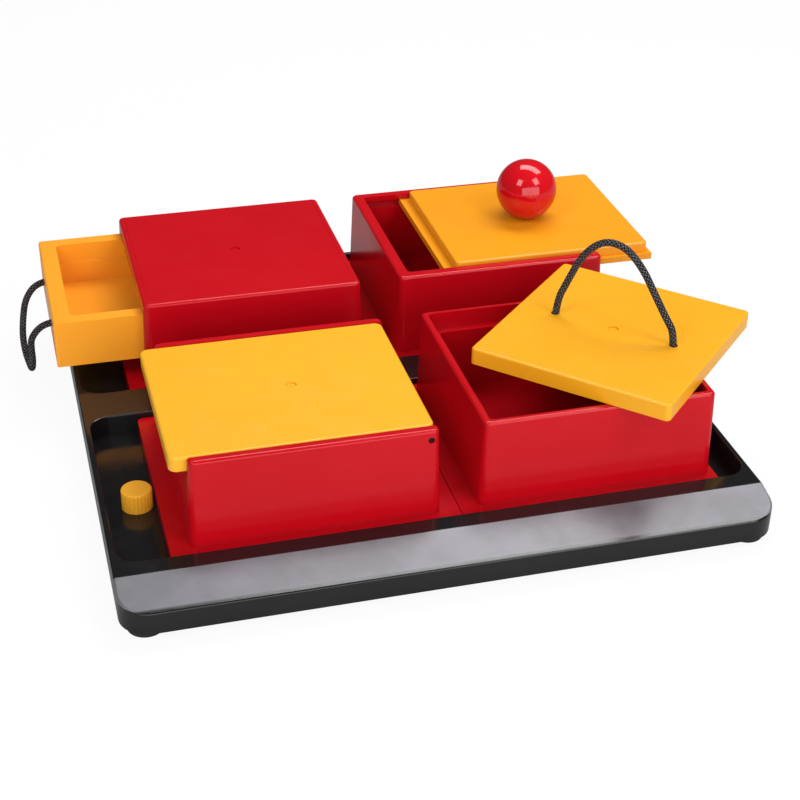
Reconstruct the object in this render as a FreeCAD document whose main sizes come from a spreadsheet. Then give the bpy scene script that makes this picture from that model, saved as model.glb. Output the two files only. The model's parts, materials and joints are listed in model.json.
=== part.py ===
"""Dog puzzle feeder: a black tray with four red treat boxes, each opened in another way."""
import FreeCAD
import Part
import Sketcher
import math
import os
import re

V = FreeCAD.Vector

# Driving dimensions in millimetres and degrees. X runs right, Y back and Z up from the table.
SIZES = {
    # Tray
    "tray_x": -6.9, "base_width": 310.0, "base_depth": 310.0, "tray_corner": 14.0, "skirt_height": 11.0,
    "slope_rise": 5.0, "front_slope": 22.5, "front_band": 9.5, "side_rim": 3.0, "well_depth": 10.0,
    "well_corner": 10.0, "floor_plate": 2.5, "skirt_wall": 2.5, "bar_width": 24.0, "bar_centre_y": 12.5,
    "rim_round": 1.0, "well_round": 0.6,
    # Feet
    "foot_height": 4.0, "foot_radius": 10.0, "foot_tip_radius": 8.5, "foot_inset": 11.8,
    "foot_stem_radius": 2.5, "foot_stem_height": 3.0,
    # Boxes
    "box_width": 115.0, "box_depth": 110.0, "box_height": 52.0, "draft": 2.0, "box_corner": 3.0,
    "box_edge_round": 1.6, "left_column": -59.5, "right_column": 77.0, "front_row_y": -59.0,
    "back_row_y": 90.0, "plinth_height": 7.0, "plinth_reach": 9.0, "plinth_corner": 3.0,
    "seat_gap": 0.4, "toe": 2.0, "shell_wall": 3.0, "skin": 2.5, "cavity_corner": 2.5,
    # Fixing screws
    "boss_radius": 4.5, "boss_spread_x": 43.0, "boss_spread_y": 41.0, "screw_radius": 1.5,
    "screw_length": 9.0, "screw_head_radius": 3.0, "screw_head_height": 1.8, "screw_gap": 0.1,
    "screw_tip_gap": 0.3,
    # Drawer and its box
    "drawer_length": 105.0, "drawer_width": 99.0, "drawer_height": 25.5, "drawer_out": 43.0,
    "drawer_panel": 9.0, "drawer_rim": 7.5, "drawer_floor": 2.5, "drawer_step": 1.2,
    "drawer_step_depth": 11.0, "drawer_gap": 0.3, "drawer_side_gap": 0.5,
    "drawer_proud": 3.0, "shelf_height": 18.5, "shelf_plate": 2.5, "drawer_round": 1.2,
    "dimple_radius": 2.6, "dimple_depth": 0.7, "guide_width": 6.0, "guide_spread": 40.0,
    # Slide lid and its box
    "slide_wall": 5.8, "groove_depth": 3.4, "tongue_length": 118.0, "tongue_width": 103.0,
    "tongue_thickness": 3.5, "tongue_lead": 5.2, "tongue_drop": 3.3, "plate_length": 111.2,
    "plate_width": 97.0, "plate_thickness": 5.5, "slide_gap": 0.3, "slide_out": 24.5, "closed_gap": 0.9,
    "slide_round": 1.2,
    # Ball knob
    "ball_radius": 17.0, "ball_flat": 0.5, "knob_screw_radius": 2.0, "knob_screw_length": 18.0,
    "knob_head_radius": 4.0, "knob_head_height": 2.4,
    # Flap and its box
    "flap_thickness": 7.0, "flap_overhang": 8.0, "flap_gap": 0.5, "flap_wall": 4.5, "flap_corner": 4.0,
    "flap_end_inset": 1.0, "hinge_inset": 4.0, "hinge_rise": 2.0, "flap_rest_gap": 0.3,
    "flap_swing_gap": 0.6, "pin_radius": 1.5, "pin_seat": 6.0, "pin_reach": 4.2, "pin_gap": 0.06,
    "flap_round": 1.2, "flap_open_angle": 60.0,
    # Push mechanism
    "rod_arm": 3.8, "rod_gap": 0.1, "rod_floor_gap": 0.4, "cam_gap": 0.15, "heel_notch": 14.0,
    "heel_notch_gap": 2.4, "guide_wall": 2.0, "lever_width": 8.0, "lever_thickness": 2.0,
    "axle_radius": 1.0, "axle_gap": 0.05, "lug_thickness": 3.0, "lug_gap": 0.4, "lug_radius": 2.4,
    "lever_hub_radius": 2.2, "lever_pivot_z": 3.9, "lever_overrun": 4.0,
    # Push button
    "button_radius": 7.4, "button_column": -136.5, "button_y": -66.0, "button_top_z": 19.8,
    "button_gap": 0.3, "button_lip": 0.8, "button_flange": 0.9, "button_nub_radius": 2.5,
    "button_nub": 0.6, "button_round": 1.0, "rib_radius": 0.45, "rib_count": 24.0,
    # Lift lid and its box
    "lift_width": 107.4, "lift_depth": 103.4, "lift_thickness": 8.5, "lift_turn": 45.0,
    "lift_shift_x": 26.3, "lift_shift_y": 1.0, "lift_plate": 5.5, "lift_skirt": 3.0, "rim_wall": 3.0,
    "rim_depth": 8.8, "ledge_width": 5.0, "lift_rest_gap": 0.1, "lift_corner": 2.5, "lift_round": 1.2,
    # Ropes
    "rope_radius": 1.8, "rope_hole_radius": 2.1, "drawer_hole_spread": 24.0, "drawer_hole_height": 13.3,
    "lift_hole_spread": 31.7, "knot_radius": 4.2, "knot_gap": 0.3, "knot_sink": 6.0,
}

# Sizes that follow from the driving ones, as formulas on the cells.
DERIVED = {
    "left_column_x": "tray_x + left_column",
    "right_column_x": "tray_x + right_column",
    "button_x": "tray_x + button_column",
    "skirt_top_z": "foot_height + skirt_height",
    "rim_z": "skirt_top_z + slope_rise",
    "floor_z": "rim_z - well_depth",
    "under_z": "floor_z - floor_plate",
    "box_top_z": "floor_z + box_height",
    "box_spread": "box_height * tan(draft * 1deg)",
    "well_half_x": "base_width / 2 - side_rim",
    "front_well_y": "front_slope + front_band - base_depth / 2",
    "back_well_y": "base_depth / 2 - side_rim",
    "bar_front_y": "bar_centre_y - bar_width / 2",
    "bar_back_y": "bar_centre_y + bar_width / 2",
    "seam_x": "(left_column_x + right_column_x) / 2",
    "foot_half_x": "box_width / 2 + box_spread",
    "foot_half_y": "box_depth / 2 + box_spread",
    "shelf_z": "floor_z + shelf_height",
    "drawer_z": "shelf_z + drawer_gap",
    "drawer_x": "left_column_x - box_width / 2 - drawer_proud - drawer_out",
    "guide_z": "shelf_height + drawer_height + 2 * drawer_gap",
    "tongue_x": "right_column_x - box_width / 2 + slide_wall - groove_depth + closed_gap + slide_out",
    "groove_z": "box_height - tongue_drop - tongue_thickness - slide_gap",
    "tongue_z": "box_top_z - tongue_drop - tongue_thickness",
    "plate_top_z": "tongue_z + tongue_thickness + plate_thickness",
    "ball_x": "tongue_x + tongue_lead + plate_length / 2",
    "flap_left_x": "left_column_x - box_width / 2 - flap_overhang",
    "flap_right_x": "left_column_x + box_width / 2 - flap_end_inset",
    "flap_depth": "box_depth - 2 * flap_wall - 2 * flap_gap",
    "flap_z": "box_top_z - flap_thickness",
    "hinge_x": "left_column_x + box_width / 2 - hinge_inset",
    "hinge_z": "flap_z + hinge_rise",
    "rod_x": "hinge_x - rod_arm",
    "rod_radius": "0.6 * rod_arm",
    "half_travel": "0.45 * rod_arm * flap_open_angle * pi / 180",
    "lever_x": "(button_x + rod_x) / 2",
    "lever_arm": "(rod_x - button_x) / 2",
    "button_z": "lever_pivot_z + half_travel + lever_thickness / 2 + cam_gap",
    "rod_z": "lever_pivot_z - half_travel + lever_thickness / 2 + cam_gap",
    "lift_x": "right_column_x + lift_shift_x",
    "lift_y": "front_row_y + lift_shift_y",
    "lift_z": "box_top_z + lift_rest_gap",
}

doc = FreeCAD.newDocument("puzzle_feeder")
sheet = doc.addObject("Spreadsheet::Sheet", "Sizes")
for row, (alias, value) in enumerate(SIZES.items(), start=1):
    sheet.set("A%d" % row, alias)
    sheet.set("B%d" % row, str(value))
    sheet.setAlias("B%d" % row, alias)
for row, (alias, text) in enumerate(DERIVED.items(), start=1):
    sheet.set("C%d" % row, alias)
    sheet.setAlias("D%d" % row, alias)
    sheet.set("D%d" % row, "=" + text)
doc.recompute()
NAMES = set(SIZES) | set(DERIVED)


def size(text):
    """Work out a formula on the cells."""
    result = sheet.evalExpression(str(text))
    return float(getattr(result, "Value", result))


def on_sheet(text):
    """Turn a formula on the cells into one that another object can be bound to."""
    return re.sub(r"[a-z][a-z_]*", lambda m: ("Sizes." if m.group(0) in NAMES else "") + m.group(0), str(text))


def bind(obj, **formulas):
    """Bind properties of an object to formulas."""
    for prop, text in formulas.items():
        obj.setExpression(prop, on_sheet(text))
    return obj


def place(obj, x="0", y="0", z="0"):
    """Bind an object's position to formulas."""
    for axis, text in (("x", x), ("y", y), ("z", z)):
        obj.setExpression("Placement.Base." + axis, on_sheet(text))
    return obj


def turn(obj, axis, angle):
    """Turn an object about an axis through its own origin by a bound angle."""
    obj.Placement = FreeCAD.Placement(V(), FreeCAD.Rotation(axis, size(angle)))
    obj.setExpression("Placement.Rotation.Angle", "(%s) * 1deg" % on_sheet(angle))
    return obj


def new_body(label):
    """Start a sub-part that is made of sketches and features."""
    body = doc.addObject("PartDesign::Body", label)
    body.Label = label
    return body


def sketch_on(body, name, role, x="0", y="0", z="0"):
    """Attach an empty sketch to one of the body's own planes, its origin moved by formulas."""
    sketch = body.newObject("Sketcher::SketchObject", name)
    plane = next(f for f in body.Origin.OriginFeatures if f.Role == role)
    sketch.AttachmentSupport = [(plane, "")]
    sketch.MapMode = "FlatFace"
    for axis, text in (("x", x), ("y", y), ("z", z)):
        sketch.setExpression("AttachmentOffset.Base." + axis, on_sheet(text))
    return sketch


def dimension(sketch, kind, *where_and_formula):
    """Add a bound dimension to a sketch."""
    *where, text = where_and_formula
    index = sketch.addConstraint(Sketcher.Constraint(kind, *where, size(text)))
    sketch.setExpression("Constraints[%d]" % index, on_sheet(text))


def rectangle(body, name, width, depth, corner=None, role="XY_Plane", x="0", y="0", z="0"):
    """Sketch a rectangle about the sketch's origin, with round corners if a radius is given."""
    sketch = sketch_on(body, name, role, x, y, z)
    half_w = size(width) / 2
    half_d = size(depth) / 2
    radius = size(corner) if corner else 0.0
    corners = [V(-half_w, -half_d), V(half_w, -half_d), V(half_w, half_d), V(-half_w, half_d)]
    for i in range(4):
        start = corners[i]
        end = corners[(i + 1) % 4]
        along = (end - start).normalize() * radius
        sketch.addGeometry(Part.LineSegment(start + along, end - along))
    for i in (0, 2):
        sketch.addConstraint(Sketcher.Constraint("Horizontal", i))
        sketch.addConstraint(Sketcher.Constraint("Vertical", i + 1))
    if corner:
        for i in range(4):
            inward = V(1 if corners[i].x < 0 else -1, 1 if corners[i].y < 0 else -1)
            circle = Part.Circle(corners[i] + inward * radius, V(0, 0, 1), radius)
            first = math.pi + i * math.pi / 2
            sketch.addGeometry(Part.ArcOfCircle(circle, first, first + math.pi / 2))
        for i in range(4):
            sketch.addConstraint(Sketcher.Constraint("Tangent", (i - 1) % 4, 2, 4 + i, 1))
            sketch.addConstraint(Sketcher.Constraint("Tangent", 4 + i, 2, i, 1))
        for i in (5, 6, 7):
            sketch.addConstraint(Sketcher.Constraint("Equal", 4, i))
        sketch.addConstraint(Sketcher.Constraint("Symmetric", 4, 3, 6, 3, -1, 1))
        dimension(sketch, "Radius", 4, corner)
    else:
        for i in range(4):
            sketch.addConstraint(Sketcher.Constraint("Coincident", i, 2, (i + 1) % 4, 1))
        sketch.addConstraint(Sketcher.Constraint("Symmetric", 0, 1, 2, 1, -1, 1))
    dimension(sketch, "DistanceX", 3, 1, 1, 1, width)
    dimension(sketch, "DistanceY", 0, 1, 2, 1, depth)
    return sketch


def circle(body, name, radius, role="XY_Plane", x="0", y="0", z="0"):
    """Sketch a circle about the sketch's origin."""
    sketch = sketch_on(body, name, role, x, y, z)
    sketch.addGeometry(Part.Circle(V(), V(0, 0, 1), size(radius)))
    sketch.addConstraint(Sketcher.Constraint("Coincident", 0, 3, -1, 1))
    dimension(sketch, "Radius", 0, radius)
    return sketch


def four_circles(body, name, radius, half_x, half_y, x="0", y="0", z="0"):
    """Sketch four circles at the corners of a rectangle about the sketch's origin."""
    sketch = sketch_on(body, name, "XY_Plane", x, y, z)
    corners = [V(a * size(half_x), b * size(half_y)) for a, b in ((-1, -1), (1, -1), (1, 1), (-1, 1))]
    for i in range(4):
        sketch.addGeometry(Part.LineSegment(corners[i], corners[(i + 1) % 4]), True)
        sketch.addConstraint(Sketcher.Constraint("Vertical" if i % 2 else "Horizontal", i))
    for i in range(4):
        sketch.addConstraint(Sketcher.Constraint("Coincident", i, 2, (i + 1) % 4, 1))
    sketch.addConstraint(Sketcher.Constraint("Symmetric", 0, 1, 2, 1, -1, 1))
    dimension(sketch, "DistanceX", 0, 1, 0, 2, "2 * (%s)" % half_x)
    dimension(sketch, "DistanceY", 1, 1, 1, 2, "2 * (%s)" % half_y)
    for i in range(4):
        sketch.addGeometry(Part.Circle(corners[i], V(0, 0, 1), size(radius)))
        sketch.addConstraint(Sketcher.Constraint("Coincident", 4 + i, 3, i, 1))
    for i in (5, 6, 7):
        sketch.addConstraint(Sketcher.Constraint("Equal", 4, i))
    dimension(sketch, "Radius", 4, radius)
    return sketch


def pad(body, profile, length, down=False, taper=None):
    """Grow the body from a sketch."""
    feature = body.newObject("PartDesign::Pad", profile.Name + "_pad")
    feature.Profile = profile
    feature.Reversed = down
    bind(feature, Length=length)
    if taper:
        feature.setExpression("TaperAngle", "(%s) * 1deg" % on_sheet(taper))
    doc.recompute()
    return feature


def pocket(body, profile, length, other_way=False):
    """Cut the body with a sketch, and make sure that something was cut."""
    before = body.Shape.Volume
    feature = body.newObject("PartDesign::Pocket", profile.Name + "_cut")
    feature.Profile = profile
    feature.Reversed = other_way
    bind(feature, Length=length)
    doc.recompute()
    if not body.Shape.Volume < before - 1e-3:
        raise RuntimeError("%s cuts nothing" % feature.Name)
    return feature


def soften(body, name, radius, chosen):
    """Round the body's edges that a test picks."""
    tip = body.Tip
    picked = ["Edge%d" % i for i, edge in enumerate(tip.Shape.Edges, start=1) if chosen(edge)]
    if not picked:
        raise RuntimeError("%s finds no edges" % name)
    feature = body.newObject("PartDesign::Fillet", name)
    feature.Base = (tip, picked)
    bind(feature, Radius=radius)
    doc.recompute()
    return feature


def level(edge, z):
    """Tell whether an edge lies wholly at one height."""
    box = edge.BoundBox
    return abs(box.ZMin - z) < 1e-4 and abs(box.ZMax - z) < 1e-4


def primitive(kind, name, **formulas):
    """Make a bound block, cylinder, cone or ball."""
    return bind(doc.addObject("Part::" + kind, name), **formulas)


def joined(label, pieces):
    """Fuse pieces into one sub-part."""
    feature = doc.addObject("Part::MultiFuse", label)
    feature.Shapes = pieces
    feature.Refine = True
    feature.Label = label
    return feature


def cut(label, base, tool):
    """Cut one piece with another."""
    feature = doc.addObject("Part::Cut", label)
    feature.Base = base
    feature.Tool = tool
    feature.Label = label
    return feature


# The column and the row of the tray where each box stands.
BOXES = {
    "drawer_box": ("left_column_x", "back_row_y"),
    "slide_box": ("right_column_x", "back_row_y"),
    "flap_box": ("left_column_x", "front_row_y"),
    "lift_box": ("right_column_x", "front_row_y"),
}


def tray():
    """Make the black tray: a skirt, a sloped front, two wells and a raised bar between them."""
    body = new_body("base_tray")
    outline = rectangle(body, "tray_outline", "base_width", "base_depth", "tray_corner", x="tray_x",
                        z="foot_height")
    pad(body, outline, "skirt_height + slope_rise")

    slope = sketch_on(body, "tray_slope", "YZ_Plane", x="1.5 * front_slope - base_depth / 2",
                      y="rim_z + slope_rise / 2", z="-base_width")
    run = 3 * size("front_slope")
    fall = 3 * size("slope_rise")
    for a, b in ((V(), V(-run, 0)), (V(-run, 0), V(-run, -fall)), (V(-run, -fall), V())):
        slope.addGeometry(Part.LineSegment(a, b))
    for i in range(3):
        slope.addConstraint(Sketcher.Constraint("Coincident", i, 2, (i + 1) % 3, 1))
    slope.addConstraint(Sketcher.Constraint("Coincident", 0, 1, -1, 1))
    slope.addConstraint(Sketcher.Constraint("Horizontal", 0))
    slope.addConstraint(Sketcher.Constraint("Vertical", 1))
    dimension(slope, "DistanceX", 0, 2, 0, 1, "3 * front_slope")
    dimension(slope, "DistanceY", 1, 2, 1, 1, "3 * slope_rise")
    pocket(body, slope, "2 * base_width", other_way=True)
    top = size("rim_z")
    skirt = size("skirt_top_z")
    soften(body, "tray_rim_round", "rim_round",
           lambda e: e.BoundBox.ZMin > skirt - 1e-4 and e.BoundBox.ZMax < top + 1e-4)

    for name, near, far in (("front", "front_well_y", "bar_front_y"), ("back", "bar_back_y", "back_well_y")):
        well = rectangle(body, "tray_%s_well" % name, "2 * well_half_x", "%s - %s" % (far, near),
                         "well_corner", x="tray_x", y="(%s + %s) / 2" % (near, far), z="rim_z")
        pocket(body, well, "well_depth")
    soften(body, "tray_well_round", "well_round",
           lambda e: level(e, top) and e.BoundBox.YMin > size("front_well_y") - 1e-3
           and e.BoundBox.YMax < size("back_well_y") + 1e-3
           and abs(e.BoundBox.Center.x - size("tray_x")) < size("well_half_x") + 1e-3)

    recess = rectangle(body, "tray_recess", "base_width - 2 * skirt_wall", "base_depth - 2 * skirt_wall",
                       "tray_corner - skirt_wall", x="tray_x", z="foot_height")
    pocket(body, recess, "under_z - foot_height", other_way=True)
    bar = rectangle(body, "tray_bar_hollow", "2 * well_half_x - 2 * skirt_wall", "bar_width - 2 * skirt_wall",
                    x="tray_x", y="bar_centre_y", z="under_z")
    pocket(body, bar, "rim_z - skirt_wall - under_z", other_way=True)
    band = rectangle(body, "tray_band_hollow", "base_width - 2 * tray_corner",
                     "front_slope + front_band - 2 * skirt_wall", x="tray_x", z="under_z",
                     y="(front_slope + front_band) / 2 - base_depth / 2")
    pocket(body, band, "skirt_top_z - skirt_wall - under_z", other_way=True)

    feet = four_circles(body, "tray_foot_pads", "foot_radius", "base_width / 2 - foot_inset",
                        "base_depth / 2 - foot_inset", x="tray_x", z="foot_height")
    pad(body, feet, "under_z - foot_height + floor_plate / 2")
    stems = four_circles(body, "tray_foot_holes", "foot_stem_radius", "base_width / 2 - foot_inset",
                         "base_depth / 2 - foot_inset", x="tray_x", z="foot_height")
    pocket(body, stems, "foot_stem_height", other_way=True)
    for name, (column, row_y) in BOXES.items():
        holes = four_circles(body, "tray_%s_holes" % name, "screw_radius + screw_gap", "boss_spread_x",
                             "boss_spread_y", x=column, y=row_y, z="floor_z")
        pocket(body, holes, "floor_plate")

    button = circle(body, "tray_button_hole", "button_radius + button_gap", x="button_x", y="button_y",
                    z="floor_z")
    pocket(body, button, "floor_plate")
    lip = circle(body, "tray_button_recess", "button_radius + button_lip + button_gap", x="button_x",
                 y="button_y", z="under_z")
    pocket(body, lip, "button_z + button_nub + button_flange + rod_gap - under_z", other_way=True)
    rod = circle(body, "tray_rod_hole", "rod_radius + rod_floor_gap", x="rod_x", y="button_y", z="floor_z")
    pocket(body, rod, "floor_plate")

    lugs = rectangle(body, "tray_lugs", "2 * lug_radius", "lever_width + 2 * lug_gap + 2 * lug_thickness",
                     x="lever_x", y="button_y", z="under_z")
    pad(body, lugs, "under_z - lever_pivot_z + lug_radius", down=True)
    slot = rectangle(body, "tray_lug_slot", "3 * lug_radius", "lever_width + 2 * lug_gap", x="lever_x",
                     y="button_y", z="under_z")
    pocket(body, slot, "2 * (under_z - lever_pivot_z + lug_radius)")
    axle = circle(body, "tray_axle_hole", "axle_radius", role="XZ_Plane", x="lever_x", y="lever_pivot_z",
                  z="lever_width + lug_thickness - button_y")
    pocket(body, axle, "2 * (lever_width + lug_thickness)")
    return body


def box_shell(label, left, right, front, back):
    """Make a red box: tapered walls on a plinth, hollow below, with four screw bosses.

    The four reaches say where the plinth ends, as absolute positions.
    """
    column, row_y = BOXES[label]
    body = new_body(label)
    place(body, column, row_y, "floor_z")
    outline = rectangle(body, label + "_outline", "box_width", "box_depth", "box_corner", z="box_height")
    pad(body, outline, "box_height", down=True, taper="draft")
    soften(body, label + "_top_round", "box_edge_round", lambda e: level(e, size("box_height")))
    plinth = rectangle(body, label + "_plinth", "%s - (%s)" % (right, left), "%s - (%s)" % (back, front),
                       "plinth_corner", x="(%s + %s) / 2 - %s" % (left, right, column),
                       y="(%s + %s) / 2 - %s" % (front, back, row_y))
    pad(body, plinth, "plinth_height")
    hollow = rectangle(body, label + "_plinth_hollow", "%s - (%s) - 2 * skin" % (right, left),
                       "%s - (%s) - 2 * skin" % (back, front), x="(%s + %s) / 2 - %s" % (left, right, column),
                       y="(%s + %s) / 2 - %s" % (front, back, row_y))
    pocket(body, hollow, "plinth_height - skin", other_way=True)
    return body


def box_underside(body, label, height):
    """Hollow the box from below up to a height, leaving the screw bosses."""
    hollow = rectangle(body, label + "_hollow", "box_width - 2 * shell_wall", "box_depth - 2 * shell_wall",
                       "cavity_corner")
    pocket(body, hollow, height, other_way=True)
    bosses = four_circles(body, label + "_bosses", "boss_radius", "boss_spread_x", "boss_spread_y")
    pad(body, bosses, "%s + skin / 2" % height)
    holes = four_circles(body, label + "_boss_holes", "screw_radius", "boss_spread_x", "boss_spread_y")
    pocket(body, holes, "screw_length - floor_plate + screw_tip_gap", other_way=True)


def left_reach():
    """Return where the plinths of the left column end on both sides."""
    return "left_column_x - foot_half_x - plinth_reach", "seam_x - seat_gap / 2"


def right_reach():
    """Return where the plinths of the right column end on both sides."""
    return "seam_x + seat_gap / 2", "right_column_x + foot_half_x + toe"


FRONT_REACH = ("front_well_y + seat_gap", "bar_front_y - seat_gap")
BACK_REACH = ("bar_back_y + seat_gap", "back_row_y + foot_half_y + toe")


def drawer_box():
    """Make the closed box whose drawer runs out of the left wall."""
    label = "drawer_box"
    body = box_shell(label, *left_reach(), *BACK_REACH)
    chamber = rectangle(body, label + "_chamber", "box_width - 2 * shell_wall",
                        "drawer_width + 2 * drawer_side_gap", x="0", z="box_height")
    pocket(body, chamber, "box_height - shelf_height")
    roof = rectangle(body, label + "_roof", "box_width - 2 * box_edge_round - shell_wall",
                     "drawer_width + 2 * drawer_side_gap + shell_wall / 2", z="box_height")
    pad(body, roof, "shell_wall", down=True)
    for side in (-1, 1):
        rib = rectangle(body, "%s_guide_%s" % (label, "front" if side < 0 else "back"),
                        "box_width - 1.5 * shell_wall", "guide_width", y="%d * guide_spread" % side,
                        z="guide_z")
        pad(body, rib, "box_height - guide_z - shell_wall / 2")
    mouth = rectangle(body, label + "_mouth", "drawer_width + 2 * drawer_side_gap",
                      "guide_z - shelf_height", role="YZ_Plane", y="(guide_z + shelf_height) / 2",
                      z="-foot_half_x - toe")
    pocket(body, mouth, "foot_half_x + toe - box_width / 2 + 1.5 * shell_wall", other_way=True)
    box_underside(body, label, "shelf_height - shelf_plate")
    dimple = circle(body, label + "_dimple", "dimple_radius", z="box_height")
    pocket(body, dimple, "dimple_depth")
    return body


def open_cavity(body, label, wall_x, wall_y, depth, corner="cavity_corner"):
    """Sink a cavity with round corners into the top of a box."""
    mouth = rectangle(body, label, "box_width - 2 * (%s)" % wall_x, "box_depth - 2 * (%s)" % wall_y,
                      corner, z="box_height")
    return pocket(body, mouth, depth)


def slide_box():
    """Make the box with grooves for the lid that slides out to the right."""
    label = "slide_box"
    body = box_shell(label, *right_reach(), *BACK_REACH)
    open_cavity(body, label + "_cavity", "slide_wall", "slide_wall", "box_height - plinth_height - skin")
    groove = rectangle(body, label + "_groove", "box_width", "box_depth - 2 * slide_wall + 2 * groove_depth",
                       x="slide_wall - groove_depth", z="groove_z")
    pocket(body, groove, "tongue_thickness + 2 * slide_gap", other_way=True)
    gate = rectangle(body, label + "_gate", "box_width", "box_depth - 2 * slide_wall", "cavity_corner",
                     x="box_width / 2", z="box_height")
    pocket(body, gate, "box_height - groove_z")
    box_underside(body, label, "plinth_height")
    return body


def flap_box():
    """Make the box whose side walls stop below the flap, with its hinge holes and rod guide."""
    label = "flap_box"
    body = box_shell(label, *left_reach(), *FRONT_REACH)
    open_cavity(body, label + "_cavity", "flap_wall", "flap_wall", "box_height - plinth_height - skin")
    seat = rectangle(body, label + "_seat", "2 * box_width", "box_depth - 2 * flap_wall", z="box_height")
    pocket(body, seat, "flap_thickness + flap_rest_gap")
    swing = rectangle(body, label + "_swing", "box_width", "box_depth - 2 * flap_wall",
                      x="box_width - 2 * hinge_inset - flap_wall", z="box_height")
    pocket(body, swing, "flap_thickness - hinge_rise + hinge_inset - flap_end_inset + flap_swing_gap"
                        " + hinge_rise / 2")
    box_underside(body, label, "plinth_height")
    guide = circle(body, label + "_guide", "rod_radius + rod_gap + guide_wall",
                   x="rod_x - left_column_x", y="button_y - front_row_y", z="plinth_height - skin / 2")
    pad(body, guide, "hinge_z - floor_z - plinth_height + skin / 2 - rod_arm - flap_swing_gap")
    bore = circle(body, label + "_bore", "rod_radius + rod_gap", x="rod_x - left_column_x",
                  y="button_y - front_row_y")
    pocket(body, bore, "box_height", other_way=True)
    hinge = circle(body, label + "_hinge", "pin_radius + pin_gap", role="XZ_Plane",
                   x="hinge_x - left_column_x", y="hinge_z - floor_z", z="box_depth")
    pocket(body, hinge, "2 * box_depth")
    return body


def lift_box():
    """Make the box with a ledge inside its rim for the lid that lifts off."""
    label = "lift_box"
    body = box_shell(label, *right_reach(), *FRONT_REACH)
    open_cavity(body, label + "_rim", "rim_wall", "rim_wall", "rim_depth")
    open_cavity(body, label + "_cavity", "rim_wall + ledge_width", "rim_wall + ledge_width",
                "box_height - plinth_height - skin")
    box_underside(body, label, "plinth_height")
    return body


def feet():
    """Make four rubber feet with a stem each."""
    made = []
    for side, sx in (("left", -1), ("right", 1)):
        for end, sy in (("front", -1), ("back", 1)):
            label = "foot_%s_%s" % (end, side)
            pad_cone = primitive("Cone", label + "_pad", Radius1="foot_tip_radius", Radius2="foot_radius",
                                 Height="foot_height")
            stem = primitive("Cylinder", label + "_stem", Radius="foot_stem_radius",
                             Height="foot_stem_height + foot_height / 2")
            place(stem, z="foot_height / 2")
            foot = joined(label, [pad_cone, stem])
            place(foot, "tray_x + %d * (base_width / 2 - foot_inset)" % sx, "%d * (base_depth / 2 - foot_inset)" % sy)
            made.append(foot)
    return made


def box_screws(label):
    """Make the four screws that hold one box from under the tray."""
    column, row_y = BOXES[label]
    pieces = []
    for i, (sx, sy) in enumerate(((-1, -1), (1, -1), (1, 1), (-1, 1))):
        name = "%s_screw_%d" % (label, i + 1)
        shank = primitive("Cylinder", name + "_shank", Radius="screw_radius",
                          Height="screw_length + screw_head_height")
        head = primitive("Cylinder", name + "_head", Radius="screw_head_radius", Height="screw_head_height")
        screw = joined(name, [shank, head])
        place(screw, "%d * boss_spread_x" % sx, "%d * boss_spread_y" % sy)
        pieces.append(screw)
    group = doc.addObject("Part::Compound", label + "_screws")
    group.Links = pieces
    group.Label = label + "_screws"
    return place(group, column, row_y, "under_z - screw_head_height")


def drawer_tray():
    """Make the drawer: a thick end panel with two rope holes and knot sinks, low walls and a floor."""
    label = "drawer_tray"
    body = new_body(label)
    place(body, "drawer_x", "back_row_y", "drawer_z")
    outline = rectangle(body, label + "_outline", "drawer_length", "drawer_width", x="drawer_length / 2")
    pad(body, outline, "drawer_height")
    soften(body, label + "_round", "drawer_round",
           lambda e: e.BoundBox.XMax < size("drawer_panel") and not level(e, 0))
    for name, step, depth in (("inner", "drawer_step", "drawer_height - drawer_floor"),
                              ("mouth", "0", "drawer_step_depth")):
        inner = rectangle(body, "%s_%s" % (label, name),
                          "drawer_length - drawer_panel - drawer_rim - %s" % step,
                          "drawer_width - 2 * drawer_rim - 2 * %s" % step, "cavity_corner",
                          x="(drawer_length + drawer_panel - drawer_rim - %s) / 2" % step,
                          z="drawer_height")
        pocket(body, inner, depth)
    for side in (-1, 1):
        hole = circle(body, "%s_rope_hole_%s" % (label, "front" if side < 0 else "back"), "rope_hole_radius",
                      role="YZ_Plane", x="%d * drawer_hole_spread" % side, y="drawer_hole_height",
                      z="-drawer_panel")
        pocket(body, hole, "2.5 * drawer_panel", other_way=True)
        sink = circle(body, "%s_knot_sink_%s" % (label, "front" if side < 0 else "back"),
                      "knot_radius + knot_gap", role="YZ_Plane", x="%d * drawer_hole_spread" % side,
                      y="drawer_hole_height", z="drawer_panel")
        pocket(body, sink, "knot_sink")
    return body


def slide_lid():
    """Make the sliding lid: a tongue that runs in the grooves under a thicker plate."""
    label = "slide_lid"
    body = new_body(label)
    place(body, "tongue_x", "back_row_y", "tongue_z")
    tongue = rectangle(body, label + "_tongue", "tongue_length", "tongue_width", x="tongue_length / 2")
    pad(body, tongue, "tongue_thickness")
    plate = rectangle(body, label + "_plate", "plate_length", "plate_width", "lift_corner",
                      x="tongue_lead + plate_length / 2", z="tongue_thickness")
    pad(body, plate, "plate_thickness")
    soften(body, label + "_round", "slide_round",
           lambda e: level(e, size("tongue_thickness + plate_thickness")))
    sink = circle(body, label + "_screw_sink", "knob_head_radius + screw_gap",
                  x="tongue_lead + plate_length / 2")
    pocket(body, sink, "knob_head_height + screw_gap", other_way=True)
    hole = circle(body, label + "_screw_hole", "knob_screw_radius + screw_gap",
                  x="tongue_lead + plate_length / 2")
    pocket(body, hole, "2 * (tongue_thickness + plate_thickness)", other_way=True)
    return body


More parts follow.
